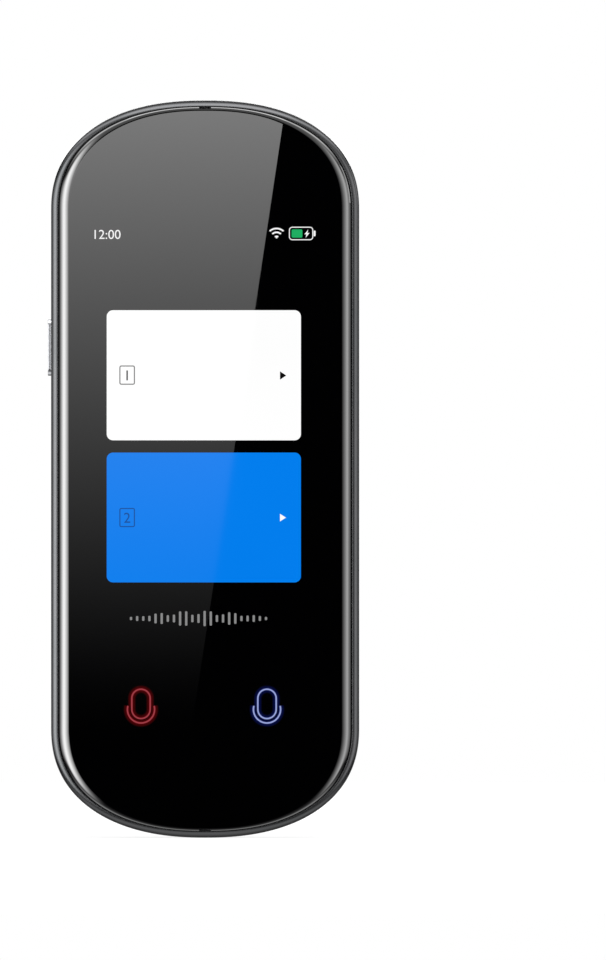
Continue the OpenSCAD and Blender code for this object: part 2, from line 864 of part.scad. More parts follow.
rear_housing();
front_frame();
cover_glass();
glass_adhesive();
touch_sensor();
lcd_cell();
backlight_tray();
display_flex();
touch_flex();
chassis_plate();
mainboard();
processor_shield();
radio_shield();
board_screws();
battery_cell();
battery_board();
battery_lead();
battery_tape();
port_board();
port_shell();
port_tongue();
link_flex();
power_key();
switch_plunger();
switch_body();
switch_flex();
camera_bezel();
camera_window();
lens_barrel();
front_lens();
camera_base();
camera_flex();
speaker_box();
speaker_diaphragm();
speaker_gasket();
speaker_mesh();
top_microphone();
top_mic_boot();
bottom_microphone();
bottom_mic_boot();
antenna_flex();
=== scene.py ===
import json
import math
from functools import partial

import bmesh
import bpy
from mathutils import Matrix, Vector

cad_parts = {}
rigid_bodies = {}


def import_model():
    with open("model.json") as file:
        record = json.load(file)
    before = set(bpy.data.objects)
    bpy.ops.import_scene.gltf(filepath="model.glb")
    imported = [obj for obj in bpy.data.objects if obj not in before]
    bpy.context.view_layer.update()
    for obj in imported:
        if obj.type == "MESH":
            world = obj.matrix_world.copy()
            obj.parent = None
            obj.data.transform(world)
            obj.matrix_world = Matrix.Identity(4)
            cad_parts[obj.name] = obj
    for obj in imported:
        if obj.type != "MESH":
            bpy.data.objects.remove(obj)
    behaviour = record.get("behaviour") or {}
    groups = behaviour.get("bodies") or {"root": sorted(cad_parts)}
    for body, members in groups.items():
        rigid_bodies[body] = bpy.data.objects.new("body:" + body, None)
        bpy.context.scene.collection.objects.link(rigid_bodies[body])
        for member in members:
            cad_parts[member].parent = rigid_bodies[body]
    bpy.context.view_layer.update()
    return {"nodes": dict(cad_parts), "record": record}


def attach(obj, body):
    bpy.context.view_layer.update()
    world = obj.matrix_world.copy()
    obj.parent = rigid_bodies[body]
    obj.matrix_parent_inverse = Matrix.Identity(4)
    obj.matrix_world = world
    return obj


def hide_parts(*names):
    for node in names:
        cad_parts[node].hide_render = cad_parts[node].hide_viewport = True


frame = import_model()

scene = bpy.context.scene
mm = 0.001
perMm = 1000        # over a size in millimetres this is a texture's scale

# All sizes are in millimetres. Level 0 is the back plane, and the levels rise towards the glass, on -Y.
body = {
    "halfWidth": 28.2, "halfHeight": 67.5, "endHeight": 20.1,
    "endPower": 2.3,        # squareness of the round ends, where 2 is an ellipse
    "depth": 12.0, "partingLevel": 9.2, "widestLevel": 7.2, "wall": 1.3, "endSteps": 120,
    "sideSteps": 16,
}
# points this close become one
welds = {
    "shape": 0.0005, "shell": 0.002, "sliver": 0.001, "print": 0.0002,
}


def hexColor(code):
    # sRGB hex to the linear colour of a shader socket
    parts = [int(code[i:i + 2], 16) / 255 for i in (1, 3, 5)]
    return tuple(c / 12.92 if c <= 0.04045 else ((c + 0.055) / 1.055) ** 2.4 for c in parts) + (1,)


def grey(level):
    return (level, level, level, 1)


def addNode(tree, kind, inputs=(), **settings):
    # a kind stands without GeometryNode or ShaderNode, and may end in a dot and an operation; inputs gives
    # each socket a value, a socket to link from, or a node whose first output it takes
    kind, *operation = kind.split(".")
    names = [prefix + kind for prefix in ("GeometryNode", "ShaderNode", "")]
    node = tree.nodes.new(next(name for name in names if hasattr(bpy.types, name)))
    if operation:
        node.operation = operation[0]
    for key, value in settings.items():
        setattr(node, key, value)
    for key, value in inputs.items() if isinstance(inputs, dict) else enumerate(inputs):
        if isinstance(value, bpy.types.Node):
            value = value.outputs[0]
        if isinstance(value, bpy.types.NodeSocket):
            tree.links.new(value, node.inputs[key])
        else:
            node.inputs[key].default_value = value
    return node


def emptied(tree):
    # what comes back is addNode for this tree
    tree.nodes.clear()
    return partial(addNode, tree)


def linkPiece(name, data):
    piece = bpy.data.objects.new(name, data)
    scene.collection.objects.link(piece)
    return piece


def meshPiece(name, edit, turnOut=True):
    # an edit mesh becomes a piece, with its faces turned outwards unless it is flat
    if turnOut:
        bmesh.ops.recalc_face_normals(edit, faces=edit.faces)
    mesh = bpy.data.meshes.new(name)
    edit.to_mesh(mesh)
    edit.free()
    return linkPiece(name, mesh)


def bakePiece(piece):
    # the evaluated result becomes the piece's own plain mesh
    bpy.context.view_layer.update()
    graph = bpy.context.evaluated_depsgraph_get()
    mesh = bpy.data.meshes.new_from_object(piece.evaluated_get(graph), depsgraph=graph)
    name = piece.name
    bpy.data.objects.remove(piece)
    return linkPiece(name, mesh)


def smoothFaces(piece, degrees, flatArea=0.5, flatNormal=0.99999):
    # the edges of flat front and back faces stay sharp, so that no rounded rim shades across them
    mesh = piece.data
    for face in mesh.polygons:
        face.use_smooth = True
    mesh.set_sharp_from_angle(angle=math.radians(degrees))
    for face in mesh.polygons:
        if face.area > flatArea * mm * mm and abs(face.normal.y) > flatNormal:
            for corner in face.loop_indices:
                mesh.edges[mesh.loops[corner].edge_index].use_edge_sharp = True


def dress(piece, slotName, node=None, smooth=None, bodyName="housing", material=None):
    # the slot's finish, the body that the piece rides on, and the CAD node that it stands for
    if smooth:
        smoothFaces(piece, smooth)
    piece.data.materials.clear()
    piece.data.materials.append(material or finishes[slotName])
    piece.data.polygons.foreach_set("material_index", [0] * len(piece.data.polygons))
    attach(piece, bodyName)
    if node:
        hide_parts(node)


noiseRange = {1: 0.3, 2: 0.7}       # a noise texture hardly leaves this range
grainDepth = 0.01


def newMaterial(name, finish, *values):
    # the finish adds its nodes and gives the last shader
    material = bpy.data.materials.new(name)
    material.use_nodes = True
    add = emptied(material.node_tree)
    add("OutputMaterial", {0: finish(add, add("TexCoord").outputs["Object"], *values)})
    return material


def grainFinish(add, point, dark, light, metallic, smooth, rough, grain, bump, patch=6.0, mirror=0.5):
    # the colour drifts over patches, and the gloss and relief follow a fine grain
    wide = add("TexNoise", {"Vector": point, "Scale": perMm / patch, "Detail": 2.0})
    fine = add("TexNoise", {"Vector": point, "Scale": perMm / grain, "Detail": 2.0})
    drift = add("MapRange", {0: wide, **noiseRange})
    gloss = add("MapRange", {0: fine, **noiseRange, 3: smooth, 4: rough})
    color = add("Mix", {0: drift, 6: hexColor(dark), 7: hexColor(light)}, data_type="RGBA")
    inputs = {"Base Color": color.outputs[2], "Roughness": gloss, "Metallic": metallic,
              "Specular IOR Level": mirror}
    if bump:
        inputs["Normal"] = add("Bump", {"Height": fine, "Strength": bump, "Distance": grainDepth * mm})
    return add("BsdfPrincipled", inputs)


# Satin metallic lacquer on moulded PC/ABS: the flakes differ slightly in grey, and the skin is faintly wavy
lacquer = {
    "flake": 0.09, "flakeColors": ("#545455", "#68686a"), "wave": 0.4, "waveDepth": 0.01,
    "roughness": (0.38, 0.43),
}


def gunmetalLacquer(add, point):
    flakes = add("TexVoronoi", {"Vector": point, "Scale": perMm / lacquer["flake"]})
    flake = add("SeparateColor", {0: flakes.outputs["Color"]})
    dark, light = (hexColor(code) for code in lacquer["flakeColors"])
    color = add("Mix", {0: flake, 6: dark, 7: light}, data_type="RGBA")
    wave = add("TexNoise", {"Vector": point, "Scale": perMm / lacquer["wave"], "Detail": 3.0})
    least, most = lacquer["roughness"]
    gloss = add("MapRange", {0: wave, **noiseRange, 3: least, 4: most})
    relief = add("Bump", {"Height": wave, "Strength": 0.1, "Distance": lacquer["waveDepth"] * mm})
    return add("BsdfPrincipled", {
        "Base Color": color.outputs[2], "Roughness": gloss, "Normal": relief, "Metallic": 0.85})


# Hardened glass over black print, with a wiped-off smear on its polish. The hard coat and the print's face
# reflect too, so the index is higher than that of bare glass.
def printedGlass(add, point):
    smear = add("TexNoise", {"Vector": point, "Scale": perMm / 9, "Detail": 4.0})
    gloss = add("MapRange", {0: smear, 1: 0.45, 2: 0.8, 3: 0.0, 4: 0.012})
    return add("BsdfPrincipled", {"Base Color": hexColor("#020203"), "Roughness": gloss, "IOR": 1.8})


# Lit picture elements under the bonded, polished glass. The backlight drifts by a percent or two over the
# panel, and a halo follows the piece's own fade values.
def litPixels(add, point, code, fades=False):
    drift = add("TexNoise", {"Vector": point, "Scale": perMm / 30, "Detail": 1.0})
    level = add("MapRange", {0: drift, **noiseRange, 3: 0.98, 4: 1.0})
    if fades:
        fade = add("Attribute", attribute_name="fade").outputs["Fac"]
        level = add("Math.MULTIPLY", (level, fade))
    color = add("Mix", {0: level, 6: grey(0), 7: hexColor(code)}, data_type="RGBA")
    return add("BsdfPrincipled", {
        "Emission Color": color.outputs[2], "Emission Strength": 1.0, "Base Color": grey(0.002),
        "Roughness": 0.02, "IOR": 1.5})


# Cover window of the camera: polished glass with an anti-reflection coating, so its index is low
def clearGlass(add, point):
    coating = add("TexNoise", {"Vector": point, "Scale": perMm / 1.5, "Detail": 4.0})
    tint = add("Mix", {0: coating, 6: hexColor("#dfe4f2"), 7: hexColor("#f2f5fa")}, data_type="RGBA")
    return add("BsdfPrincipled", {
        "Base Color": tint.outputs[2], "Roughness": 0.0, "Transmission Weight": 1.0, "IOR": 1.22})


# Coated optical glass over a dark sensor: the coating's violet and blue, paled in the middle by a painted
# highlight and darkened by painted shade towards an almost black edge
lensTintsAndPaintedHighlight = [(0, "#d6d2ff"), (0.2, "#8f86f0"), (0.45, "#4a4bc4"), (0.7, "#20256e"), (1, "#0b0c22")]


def coatedLensPaintedHighlight(add, point, place, level, radius):
    center = Vector((place[0], -level, place[1])) * mm
    # the colour runs from a painted highlight in the lens's middle to painted shade at its edge
    away = add("VectorMath.DISTANCE", (point, center)).outputs["Value"]
    reach = add("MapRange", {0: away, 1: 0.0, 2: radius * mm})
    stops = add("ValToRGB", {0: reach})
    fillStops(stops.color_ramp.elements, [(place, hexColor(code)) for place, code in lensTintsAndPaintedHighlight])
    return add("BsdfPrincipled", {
        "Base Color": stops, "Metallic": 0.7, "Roughness": 0.08, "Coat Weight": 1.0, "Coat Roughness": 0.0})


def fillStops(elements, stops):
    # a new ramp's second stop goes, and its first one becomes the first of these
    elements.remove(elements[1])
    for k, (place, color) in enumerate(stops):
        element = elements.new(place) if k else elements[0]
        element.position = place
        element.color = color


# Woven steel cloth, blackened, with its wires drawn coarse enough to show through the holes; the wire crests
# are painted lighter as a sheen, and the gaps between the wires darker as shade
weaving = {
    "pitch": 0.16, "relief": 0.03, "colors": ("#020202", "#2c2c2e"),
}


def wovenMesh(add, point):
    place = add("SeparateXYZ", {0: point})
    turns = 2 * math.pi * perMm / weaving["pitch"]
    waves = []
    for axis in (0, 2):
        angle = add("Math.MULTIPLY", (place.outputs[axis], turns))
        waves.append(add("Math.SINE", {0: angle}))
    weave = add("Math.MAXIMUM", (waves[0], waves[1]))
    # painted sheen on the weave's crests and painted shade in the gaps between the wires
    crestSheenGapShade = add("MapRange", {0: weave, 1: -0.2, 2: 1.0})
    dark, light = (hexColor(code) for code in weaving["colors"])
    color = add("Mix", {0: crestSheenGapShade, 6: dark, 7: light}, data_type="RGBA")
    relief = add("Bump", {"Height": weave, "Strength": 0.6, "Distance": weaving["relief"] * mm})
    return add("BsdfPrincipled", {
        "Base Color": color.outputs[2], "Normal": relief, "Metallic": 0.6, "Roughness": 0.5})


camera = {
    "place": (-0.9, 54.7), "bezelDiameter": 8.2, "bezelBack": 2.3,
    "bezelEdge": 0.18,          # radius of its outer edge
    "bezelSlope": (0.5, 0.1, 0.06),     # the inner edge: distance from the window, width and height
    "bezelBore": 2.95, "windowDiameter": 6.2, "windowLevel": 0.25, "windowBack": 0.85,
    "windowGap": 0.02, "windowLip": 0.03, "windowChamfer": 0.08, "printGap": 0.01,
    "printRadii": (2.76, 2.94), "printThickness": 0.02, "lensRadius": 1.69, "lensLevel": 1.7,
    "lensRise": 0.45, "lensBack": 2.9,
}

# name, darkest and lightest colour, metallic, least and most roughness, grain in mm, relief, and for some the
# size of the colour's patches and the strength of the mirroring
grainFinishes = {
    # dark anodised aluminium, bead-blasted: a soft sheen on a nearly black metal
    "frame_metal": ("darkAnodisedRim", "#393a3b", "#3d3d3e", 1, 0.22, 0.26, 0.12, 0.015, 12),
    # grey anodised aluminium, polished before: a mid grey metal with clear reflections
    "key_chrome": ("greyAnodisedKey", "#9c9da0", "#a4a5a8", 1, 0.18, 0.22, 0.15, 0.02, 4),
    # black anodised and polished
    "bezel_black": ("blackAnodisedBezel", "#0a0a0b", "#101012", 0.4, 0.06, 0.09, 0.1, 0.01),
    # black polycarbonate, flocked inside, which mirrors almost nothing
    "barrel_black": ("blackPolycarbonate", "#060607", "#0b0b0c", 0, 0.35, 0.45, 0.08, 0.05, 6, 0.1),
    "adhesive": ("foamTape", "#0e0e0f", "#17171a", 0, 0.7, 0.85, 0.2, 0.3),
    "touch_film": ("indiumTinOxideFilm", "#9aa4ad", "#aab3bb", 0.1, 0.08, 0.14, 0.5, 0),
    "lcd_glass": ("displayGlass", "#08080b", "#0e0e12", 0, 0.04, 0.08, 0.4, 0),
    "backlight_steel": ("brightSteelTray", "#bfc0c2", "#cfd0d2", 1, 0.2, 0.3, 0.2, 0.04),
    "flex_polyimide": ("polyimideFlex", "#a8561c", "#c0692a", 0, 0.25, 0.4, 0.3, 0.1),
    "stamped_steel": ("stampedSteel", "#a7a8aa", "#b9babc", 1, 0.3, 0.42, 0.15, 0.08),
    "circuit_board": ("solderResistBoard", "#0b4a26", "#0f5c31", 0, 0.2, 0.35, 0.25, 0.2),
    "shield_tin": ("nickelSilverCan", "#c2c2bc", "#d2d2cc", 1, 0.22, 0.34, 0.2, 0.05),
    "screw_steel": ("nickelPlatedSteel", "#b8b8b6", "#cbcbc9", 1, 0.2, 0.3, 0.1, 0.04),
    "cell_foil": ("aluminiumLaminateFoil", "#9d9ea1", "#adaeb1", 0.8, 0.4, 0.55, 0.4, 0.2),
    "tape_white": ("whiteTape", "#dcdcd8", "#e8e8e4", 0, 0.6, 0.75, 0.3, 0.2),
    "switch_plastic": ("whiteNylon", "#cfc9b6", "#ddd8c8", 0, 0.45, 0.6, 0.15, 0.1),
    "switch_case": ("greyNylon", "#3a3a3c", "#464648", 0, 0.5, 0.65, 0.15, 0.1),
    "module_ceramic": ("sensorCeramic", "#2c2c2e", "#363638", 0, 0.5, 0.65, 0.12, 0.1),
    "speaker_plastic": ("speakerPolycarbonate", "#0f0f10", "#18181a", 0, 0.5, 0.65, 0.15, 0.15),
    "diaphragm_film": ("diaphragmFilm", "#3c2314", "#4b2d1b", 0, 0.25, 0.4, 0.3, 0.05),
    "rubber": ("siliconeRubber", "#0b0b0c", "#131315", 0, 0.7, 0.85, 0.2, 0.25),
    "port_steel": ("deepDrawnSteel", "#a9abad", "#b9bbbd", 1, 0.18, 0.26, 0.2, 0.03),
    "port_plastic": ("blackLiquidCrystalPolymer", "#0c0c0d", "#151516", 0, 0.45, 0.6, 0.1, 0.1),
    "mic_gold": ("goldPlating", "#c8a04c", "#d8b25e", 1, 0.2, 0.32, 0.15, 0.04),
}
finishes = {
    "gunmetal_paint": newMaterial("gunmetalLacquer", gunmetalLacquer),
    "cover_glass": newMaterial("blackPrintedGlass", printedGlass),
    "mesh_black": newMaterial("blackWovenMesh", wovenMesh),
    "camera_glass": newMaterial("clearWindowGlass", clearGlass),
    "lens_glass": newMaterial("coatedLensGlass", coatedLensPaintedHighlight, camera["place"], camera["lensLevel"],
                              camera["lensRadius"]),
}
for slotName, (name, *values) in grainFinishes.items():
    finishes[slotName] = newMaterial(name, grainFinish, *values)
print("finishes:", len(finishes))


# The housing, the rim and the glass are one section each, swept round the same outline
def polyCurve(name, points):
    curve = bpy.data.curves.new(name, "CURVE")
    curve.dimensions = "3D"
    line = curve.splines.new("POLY")
    line.points.add(len(points) - 1)
    for target, point in zip(line.points, points):
        target.co = (*point, 1)
    return linkPiece(name, curve)


def outlineCurve():
    # x and z hold the outline's shape at full size 1, and y says which round end a point belongs to
    half = []
    for i in range(body["endSteps"] + 1):
        angle = math.pi * i / body["endSteps"]
        power = 2 / body["endPower"]
        x = math.copysign(abs(math.cos(angle)) ** power, math.cos(angle))
        half.append((x, 1.0, abs(math.sin(angle)) ** power))
    half[0], half[-1] = (1, 1, 0), (-1, 1, 0)
    sides = [(-1, 1 - 2 * i / body["sideSteps"], 0) for i in range(1, body["sideSteps"])]
    other = [(-x, -y, -z) for x, y, z in half + sides]
    return polyCurve("outline", half + sides + other)


def newTree(name, output, inputs):
    # a geometry tree with its named inputs, each with its kind of socket
    tree = bpy.data.node_groups.new(name, "GeometryNodeTree")
    for title, kind in inputs.items():
        tree.interface.new_socket(title, in_out="INPUT", socket_type="NodeSocket" + kind)
    tree.interface.new_socket(output, in_out="OUTPUT", socket_type="NodeSocketGeometry")
    add = emptied(tree)
    return tree, add, add("NodeGroupInput").outputs


def endTree(add, geometry, material):
    realized = add("RealizeInstances", {0: geometry})
    finished = add("SetMaterial", {"Geometry": realized, "Material": material})
    add("NodeGroupOutput", {0: finished})


def sweepTree():
    # a section point is (side inset, level, end inset), all in metres
    tree, add, given = newTree("sweepSection", "Shell", {
        "Section": "Geometry", "Outline": "Object", "Half Width": "Float", "End Height": "Float",
        "Straight Half": "Float", "Finish": "Material"})
    position = add("InputPosition")
    outline = add("ObjectInfo", {"Object": given["Outline"]}).outputs["Geometry"]
    aroundCount = add("AttributeDomainSize", {0: outline}, component="CURVE")
    sectionCount = add("AttributeDomainSize", {0: given["Section"]}, component="CURVE")
    ringCount = add("Math.ADD", (aroundCount, 1.0))
    grid = add("MeshGrid", {"Vertices X": ringCount, "Vertices Y": sectionCount})
    index = add("InputIndex")
    column = add("Math.DIVIDE", (index, sectionCount))
    column = add("Math.FLOOR", {0: column})
    turn = add("Math.MODULO", (column, aroundCount))
    row = add("Math.MODULO", (index, sectionCount))
    shape, section = (
        add("SampleIndex", {"Geometry": source, "Value": position, "Index": at}, data_type="FLOAT_VECTOR")
        for source, at in ((outline, turn), (given["Section"], row)))
    inset = add("SeparateXYZ", {0: section}).outputs
    unit = add("SeparateXYZ", {0: shape}).outputs
    width = add("Math.SUBTRACT", (given["Half Width"], inset[0]))
    height = add("Math.SUBTRACT", (given["End Height"], inset[2]))
    size = add("CombineXYZ", {0: width, 1: 0.0, 2: height})
    straight = add("Math.MULTIPLY", (unit[1], given["Straight Half"]))
    level = add("Math.MULTIPLY", (inset[1], -1.0))
    base = add("CombineXYZ", {0: 0.0, 1: level, 2: straight})
    place = add("VectorMath.MULTIPLY_ADD", (shape, size, base))
    moved = add("SetPosition", {"Geometry": grid, "Position": place})
    welded = add("MergeByDistance", {"Geometry": moved, "Distance": welds["shape"] * mm})
    endTree(add, welded, given["Finish"])
    return tree


def addTree(piece, tree, values):
    # a modifier's inputs are set by their identifiers
    modifier = piece.modifiers.new(tree.name, "NODES")
    modifier.node_group = tree
    for item in tree.interface.items_tree:
        if item.name in values:
            modifier[item.identifier] = values[item.name]


def sweepShell(name, section, cutters, slotName, node, smooth):
    # the inset at the round ends is the side's, unless the section gives its own, and one flat face fills
    # each open end before the cutters take their parts away
    points = [(p[0], p[1], p[2] if len(p) > 2 else p[0]) for p in section]
    draft = polyCurve(name, [(a * mm, b * mm, c * mm) for a, b, c in points])
    addTree(draft, sweep, {
        "Outline": outline, "Half Width": body["halfWidth"] * mm, "End Height": body["endHeight"] * mm,
        "Straight Half": (body["halfHeight"] - body["endHeight"]) * mm, "Finish": finishes[slotName]})
    shell = bakePiece(draft)
    edit = bmesh.new()
    edit.from_mesh(shell.data)
    bpy.data.objects.remove(shell)
    bmesh.ops.remove_doubles(edit, verts=edit.verts, dist=welds["shell"] * mm)
    bmesh.ops.dissolve_degenerate(edit, edges=edit.edges, dist=welds["sliver"] * mm)
    bmesh.ops.holes_fill(edit, edges=[edge for edge in edit.edges if edge.is_boundary], sides=0)
    shell = meshPiece(name, edit)
    for cutter in cutters:
        shell.modifiers.new("cut", "BOOLEAN").object = cutter
    dress(bakePiece(shell), slotName, node, smooth)
    bpy.data.batch_remove(cutters)


def arc(centerX, centerY, sizeX, sizeY, start, stop, steps):
    turns = [math.radians(start + (stop - start) * i / steps) for i in range(steps + 1)]
    return [(centerX + sizeX * math.cos(a), centerY + sizeY * math.sin(a)) for a in turns]


def softStep(start, stop, steps):
    points = []
    for i in range(1, steps + 1):
        share = i / steps
        rise = share * share * (3 - 2 * share)
        points.append((start[0] + (stop[0] - start[0]) * share, start[1] + (stop[1] - start[1]) * rise))
    return points


def stadium(length, height, radius=None, steps=12):
    # a rectangle with round corners about the origin, counter-clockwise, a full slot by default
    radius = height / 2 if radius is None else radius
    points = []
    for k in range(4):
        x = (length / 2 - radius) * (1 if k in (0, 3) else -1)
        y = (height / 2 - radius) * (1 if k < 2 else -1)
        for i in range(steps + 1):
            a = math.radians(90 * k + 90 * i / steps)
            points.append((x + radius * math.cos(a), y + radius * math.sin(a)))
    return points


def slotRings(put, places, size, radius=None, steps=12):
    # a slot-shaped ring for each (place on the axis, shrink), whose points put stands up round the axis
    rings = []
    for place, shrink in places:
        points = stadium(size[0] - 2 * shrink, size[1] - 2 * shrink, radius, steps)
        rings.append([put(place, u, v) for u, v in points])
    return rings


def loft(name, rings, closed=True):
    # rings of equal count, each a list of points in millimetres
    edit = bmesh.new()
    made = [[edit.verts.new(Vector(p) * mm) for p in ring] for ring in rings]
    count = len(rings[0])
    for low, high in zip(made, made[1:]):
        for i in range(count):
            edit.faces.new((low[i], low[(i + 1) % count], high[(i + 1) % count], high[i]))
    if closed:
        edit.faces.new(made[0])
        edit.faces.new(made[-1])
    bmesh.ops.remove_doubles(edit, verts=edit.verts, dist=welds["shape"] * mm)
    return meshPiece(name, edit)


def turned(name, profile, steps=96, place=(0, 0)):
    # a lathe shape about an axis through the back: the profile runs in (radius, level)
    turns = [2 * math.pi * i / steps for i in range(steps)]
    rings = []
    for radius, level in profile:
        rings.append([(place[0] + radius * math.cos(a), -level, place[1] + radius * math.sin(a))
                      for a in turns])
    return loft(name, rings, closed=False)


sweep = sweepTree()
outline = outlineCurve()

housing = {
    "partingInset": 0.35, "partingBevel": (0.12, 0.06),
    "swell": (0.6, 2.6),        # from the parting line to the widest level: inset and height
    "ridge": (3.6, 1.15),       # inset and depth below the raised field
    "groove": (6.8, 1.7), "fieldInset": 10.0, "innerField": 10.4, "innerGroove": 7.2,
    "strip": 0.1,               # here and below, a strip that holds the shading of a flat face straight
    "innerCorner": (5.0, 3.4, 4.2),     # its centre's inset, its width and its depth
    "lip": (1.75, 7.6),         # inset and lowest level of the wall's upper edge
    "lipBevel": 0.1, "cameraGap": 0.03, "cameraRim": 0.06, "cameraBore": 3.5,
    "keySlot": [(-0.5, -0.16), (0.02, -0.16), (0.1, -0.1), (2.2, -0.1)],    # depth, and shrink from the key
    "portSlot": [(-0.5, -0.28), (0.25, -0.28), (0.4, -0.2), (4, -0.2)],
    "keyPocket": ((1.6, 2.6), (4.7, 10.2), 0.2),    # insets and levels, and the gap at the flange's ends
}
speaker = {
    "holeDiameter": 1.7, "rim": 0.07, "centerZ": 59.8,
    "rows": [(16.5, 8.8, 5), (20.0, 7.05, 7)],      # radius, pitch in degrees, holes
}
key = {
    "z": 22.3, "level": 6.6, "size": (10.4, 2.4), "proud": 0.65, "crown": 0.1,
    "crownSteps": 8, "strip": 0.02, "flangeDepth": 1.7, "flangeThickness": 0.6, "flange": (12.4, 3.2),
    "flangeRadius": 0.6,
}
port = {
    "level": 5.32, "size": (8.94, 3.26), "mouth": -66.6, "depth": 7.35, "wall": 0.3,
}
micSlit = {
    "width": 2.2, "height": 0.46, "cornerRadius": 0.22, "fromEdge": 1.62,
    "notch": 1.6,           # the slit's place is cut out of the glass too
    "clothLevels": (10.4, 10.5), "clothMargin": 0.1, "clothRadius": 0.2,
}


def housingSection():
    # from the flat inner face round the wall's edge to the raised field
    ridge, groove, field = housing["ridge"], housing["groove"], (housing["fieldInset"], 0.0)
    widest, parting, wall = body["widestLevel"], body["partingLevel"], body["wall"]
    inner, strip, corner = housing["innerField"], housing["strip"], housing["innerCorner"]
    inside = [(inner + strip, wall), (inner, wall)]
    inside += softStep((inner, wall), (housing["innerGroove"], groove[1] + wall), 8)
    inside += arc(corner[0], widest, -corner[1], -corner[2], 90, 0, 10)
    lip, bevel = housing["lip"], housing["lipBevel"]
    inside += [lip, (lip[0], parting - bevel), (lip[0] + bevel, parting)]
    edge, bevel, swell = housing["partingInset"], housing["partingBevel"], housing["swell"]
    outside = [(edge + bevel[0], parting), (edge, parting - bevel[1])]
    outside += arc(swell[0], widest, -swell[0], swell[1], 44, 4, 8)
    outside += arc(ridge[0], widest, -ridge[0], ridge[1] - widest, 0, 90, 30)
    outside += softStep(ridge, groove, 18)
    outside += softStep(groove, field, 24)
    return inside + outside + [(field[0] + strip, 0)]


def drillTree(drill):
    # drills stand along an arc about one centre
    tree, add, given = newTree("drillRow", "Drills", {
        "Start": "Geometry", "Center": "Vector", "Radius": "Float", "Pitch": "Float", "Holes": "Int"})
    index = add("InputIndex")
    last = add("Math.SUBTRACT", (given["Holes"], 1.0))
    middle = add("Math.DIVIDE", (last, 2.0))
    step = add("Math.SUBTRACT", (index, middle))
    angle = add("Math.MULTIPLY", (step, given["Pitch"]))
    sine = add("Math.SINE", {0: angle})
    cosine = add("Math.COSINE", {0: angle})
    down = add("Math.MULTIPLY", (cosine, -1.0))
    direction = add("CombineXYZ", {0: sine, 2: down})
    place = add("VectorMath.MULTIPLY_ADD", (direction, given["Radius"], given["Center"]))
    line = add("MeshLine", {"Count": given["Holes"]})
    moved = add("SetPosition", {"Geometry": line, "Position": place})
    shape = add("ObjectInfo", {"Object": drill}).outputs["Geometry"]
    drills = add("InstanceOnPoints", {"Points": moved, "Instance": shape})
    endTree(add, drills, finishes["gunmetal_paint"])
    return tree


def drillProfile(radius, rim, depth, above=0.4, margin=0.05):
    # a drill whose mouth opens in a small rounded rim, and that starts above the surface
    mouth = arc(radius + rim, rim, -rim, -rim, 90, 0, 4)
    top = [(0, -above), (radius + rim + margin, -above)]
    return top + mouth + [(radius, depth), (0, depth)]


def speakerDrills():
    depth = body["wall"] + 0.5
    drill = turned("drill", drillProfile(speaker["holeDiameter"] / 2, speaker["rim"], depth), 36)
    tree = drillTree(drill)
    rows = []
    for radius, pitch, holes in speaker["rows"]:
        row = linkPiece("drillRow%d" % holes, bpy.data.meshes.new("drillRow"))
        addTree(row, tree, {
            "Center": (camera["place"][0] * mm, 0.0, speaker["centerZ"] * mm), "Radius": radius * mm,
            "Pitch": math.radians(pitch), "Holes": holes})
        rows.append(bakePiece(row))
    bpy.data.objects.remove(drill)
    return rows


def roundKey(x, u, v):
    return (x, -(key["level"] + v), key["z"] + u)


def roundPort(z, u, v):
    return (u, -(port["level"] + v), z)


def slotCutter(name, put, start, size):
    places = [(start + depth, shrink) for depth, shrink in housing[name]]
    return loft(name, slotRings(put, places, size))


def keyPocket(insets, levels, gap):
    # room for the key's flange, between two insets from the side
    left, right = (-body["halfWidth"] + inset for inset in insets)
    low, high = (key["z"] + side * (key["flange"][0] / 2 + gap) for side in (-1, 1))
    corners = [(left, low), (right, low), (right, high), (left, high)]
    return loft("keyPocket", [[(x, -level, z) for x, z in corners] for level in levels])


def makeHousing():
    cutters = speakerDrills()
    radius = camera["bezelDiameter"] / 2 + housing["cameraGap"]
    bore = drillProfile(radius, housing["cameraRim"], housing["cameraBore"])
    cutters.append(turned("cameraBore", bore, 96, camera["place"]))
    cutters.append(slotCutter("keySlot", roundKey, -body["halfWidth"], key["size"]))
    cutters.append(keyPocket(*housing["keyPocket"]))
    cutters.append(slotCutter("portSlot", roundPort, -body["halfHeight"], port["size"]))
    sweepShell("rearHousing", housingSection(), cutters, "gunmetal_paint", "rear_housing", 32)


# The rim slopes up to its crest, where a small round edge falls to the glass. At the sides the slope levels
# out towards the crest. At the ends the rim is narrower and its slope stays steep.
rim = {
    "width": 1.28, "edgeRadius": 0.05, "crestLevel": 11.55, "flankLevel": 10.88, "endWidth": 1.14,
    "endSlopes": (70, 24),      # degrees at the outer edge and at the crest
    "foot": [(0.0, 9.9), (0.03, 9.6), (0.1, 9.4), (0.2, 9.28), (0.33, 9.22), (0.47, 9.2)],
    "tongue": [(1.9, 9.2), (1.9, 7.3), (4.0, 7.3), (4.0, 7.9), (2.9, 7.9), (2.9, 10.7)],
    "cutLevels": (9.0, 12.5),   # of the microphone slits
    "keyPocket": ((1.5, 4.5), (7.1, 8.8), 0.4),
}


def slitPieces(levels, height, grow=0.0, radius=micSlit["cornerRadius"]):
    # at each end a slot through the front, from the slit's edge near the middle and wider by grow all round
    pieces = []
    for name, side in (("topSlitCloth", 1), ("bottomSlitCloth", -1)):
        middle = side * (body["halfHeight"] - micSlit["fromEdge"] + height / 2)

        def put(level, u, v):
            return (u, -level, middle + v)

        rings = slotRings(put, [(level, -grow) for level in levels], (micSlit["width"], height), radius, 6)
        pieces.append(loft(name, rings))
    return pieces


